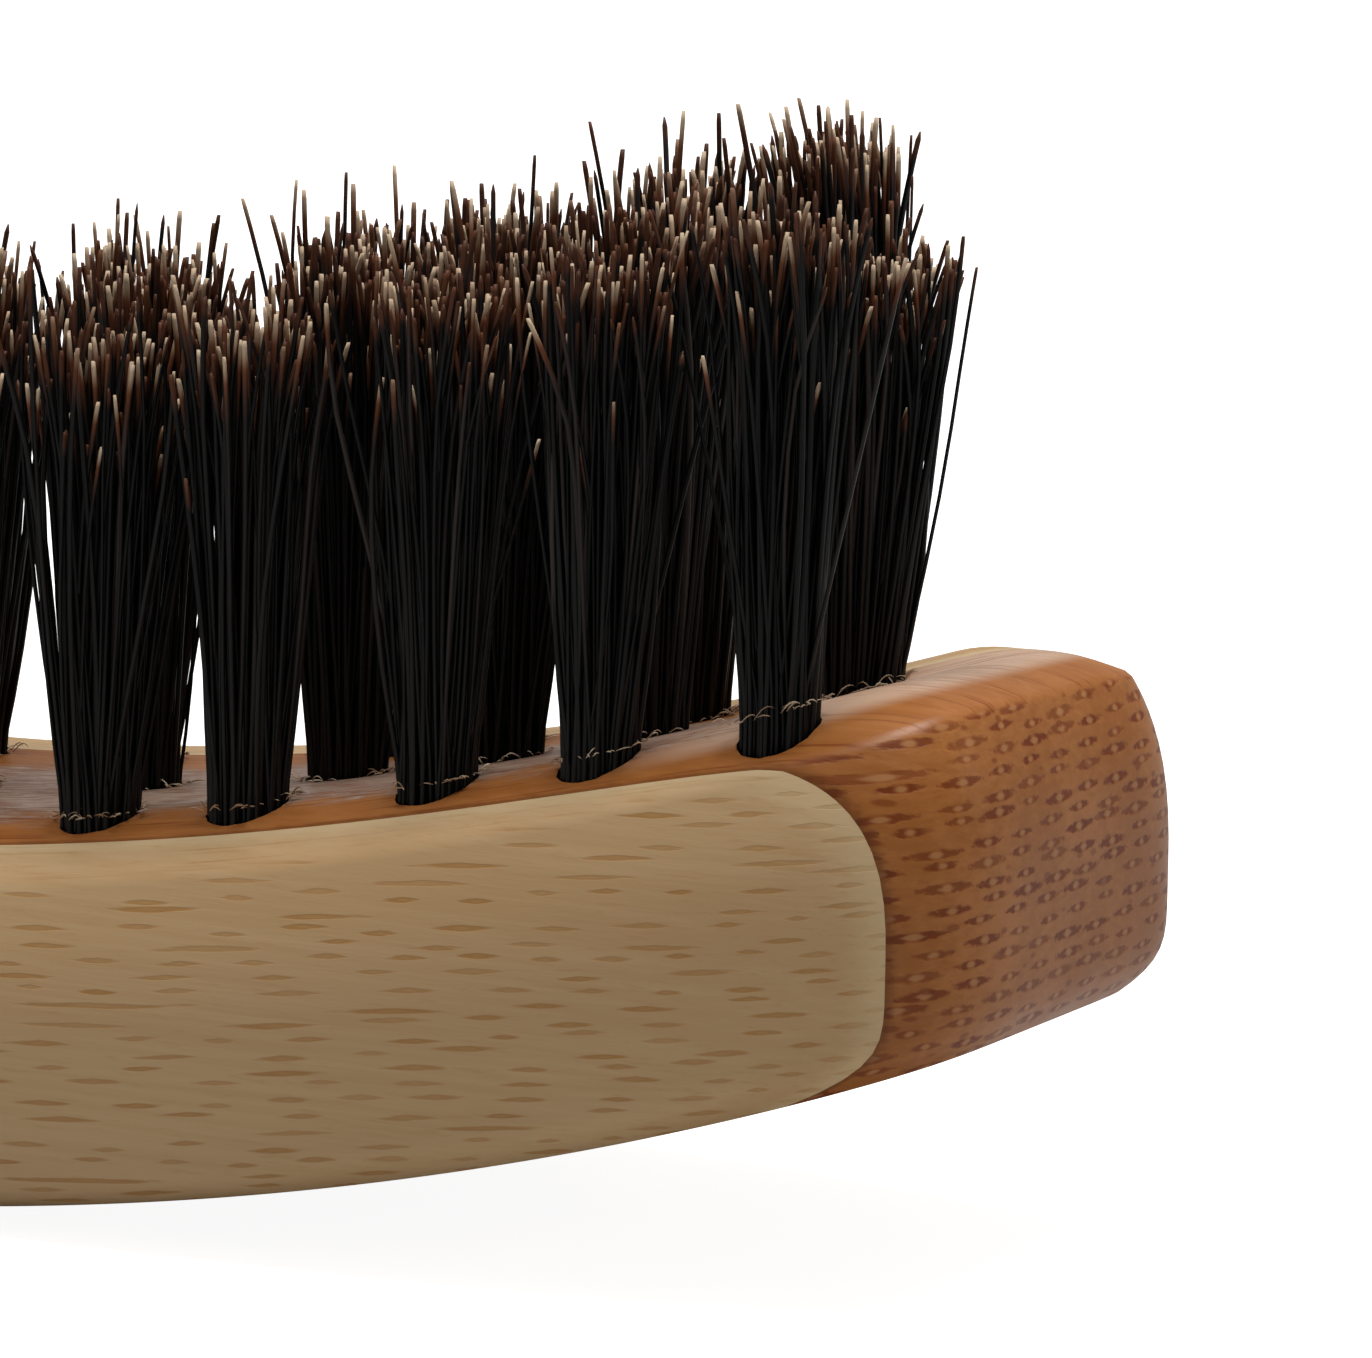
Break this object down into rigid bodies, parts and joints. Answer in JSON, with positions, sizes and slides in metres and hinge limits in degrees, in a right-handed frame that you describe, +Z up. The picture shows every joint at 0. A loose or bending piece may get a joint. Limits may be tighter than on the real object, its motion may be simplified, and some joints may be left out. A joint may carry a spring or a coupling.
{
  "type": "beard brush",
  "caption": "Jaw-curved beard brush: a laminated two-tone bamboo block with a hollow face, and upright tufts of dark boar bristle in straight rows.",
  "frame": {"origin": "on the resting flat under the middle of the crowned back, at the centre of the plan", "axes": "+X along the block, +Y across it from the near lamella to the far lamella, +Z up along the tufts"},
  "size_m": [0.1206, 0.0322, 0.0435],
  "materials": {
    "pale_bamboo": "satin",
    "carbonised_bamboo": "satin",
    "boar_bristle": "satin",
    "staple_steel": "satin"
  },
  "bodies": {
    "root": {"core_lamella": "carbonised_bamboo", "near_lamella": "pale_bamboo", "far_lamella": "pale_bamboo", "tuft_near_01": "boar_bristle", "tuft_near_02": "boar_bristle", "tuft_near_03": "boar_bristle", "tuft_near_04": "boar_bristle", "tuft_near_05": "boar_bristle", "tuft_near_06": "boar_bristle", "tuft_near_07": "boar_bristle", "tuft_near_08": "boar_bristle", "tuft_near_09": "boar_bristle", "tuft_near_10": "boar_bristle", "tuft_near_11": "boar_bristle", "tuft_near_12": "boar_bristle", "tuft_near_13": "boar_bristle", "tuft_near_14": "boar_bristle", "tuft_centre_01": "boar_bristle", "tuft_centre_02": "boar_bristle", "tuft_centre_03": "boar_bristle", "tuft_centre_04": "boar_bristle", "tuft_centre_05": "boar_bristle", "tuft_centre_06": "boar_bristle", "tuft_centre_07": "boar_bristle", "tuft_centre_08": "boar_bristle", "tuft_centre_09": "boar_bristle", "tuft_centre_10": "boar_bristle", "tuft_centre_11": "boar_bristle", "tuft_centre_12": "boar_bristle", "tuft_centre_13": "boar_bristle", "tuft_centre_14": "boar_bristle", "tuft_far_01": "boar_bristle", "tuft_far_02": "boar_bristle", "tuft_far_03": "boar_bristle", "tuft_far_04": "boar_bristle", "tuft_far_05": "boar_bristle", "tuft_far_06": "boar_bristle", "tuft_far_07": "boar_bristle", "tuft_far_08": "boar_bristle", "tuft_far_09": "boar_bristle", "tuft_far_10": "boar_bristle", "tuft_far_11": "boar_bristle", "tuft_far_12": "boar_bristle", "staple_01": "staple_steel", "staple_02": "staple_steel", "staple_03": "staple_steel", "staple_04": "staple_steel", "staple_05": "staple_steel", "staple_06": "staple_steel", "staple_07": "staple_steel", "staple_08": "staple_steel", "staple_09": "staple_steel", "staple_10": "staple_steel", "staple_11": "staple_steel", "staple_12": "staple_steel", "staple_13": "staple_steel", "staple_14": "staple_steel"}
  },
  "joints": []
}
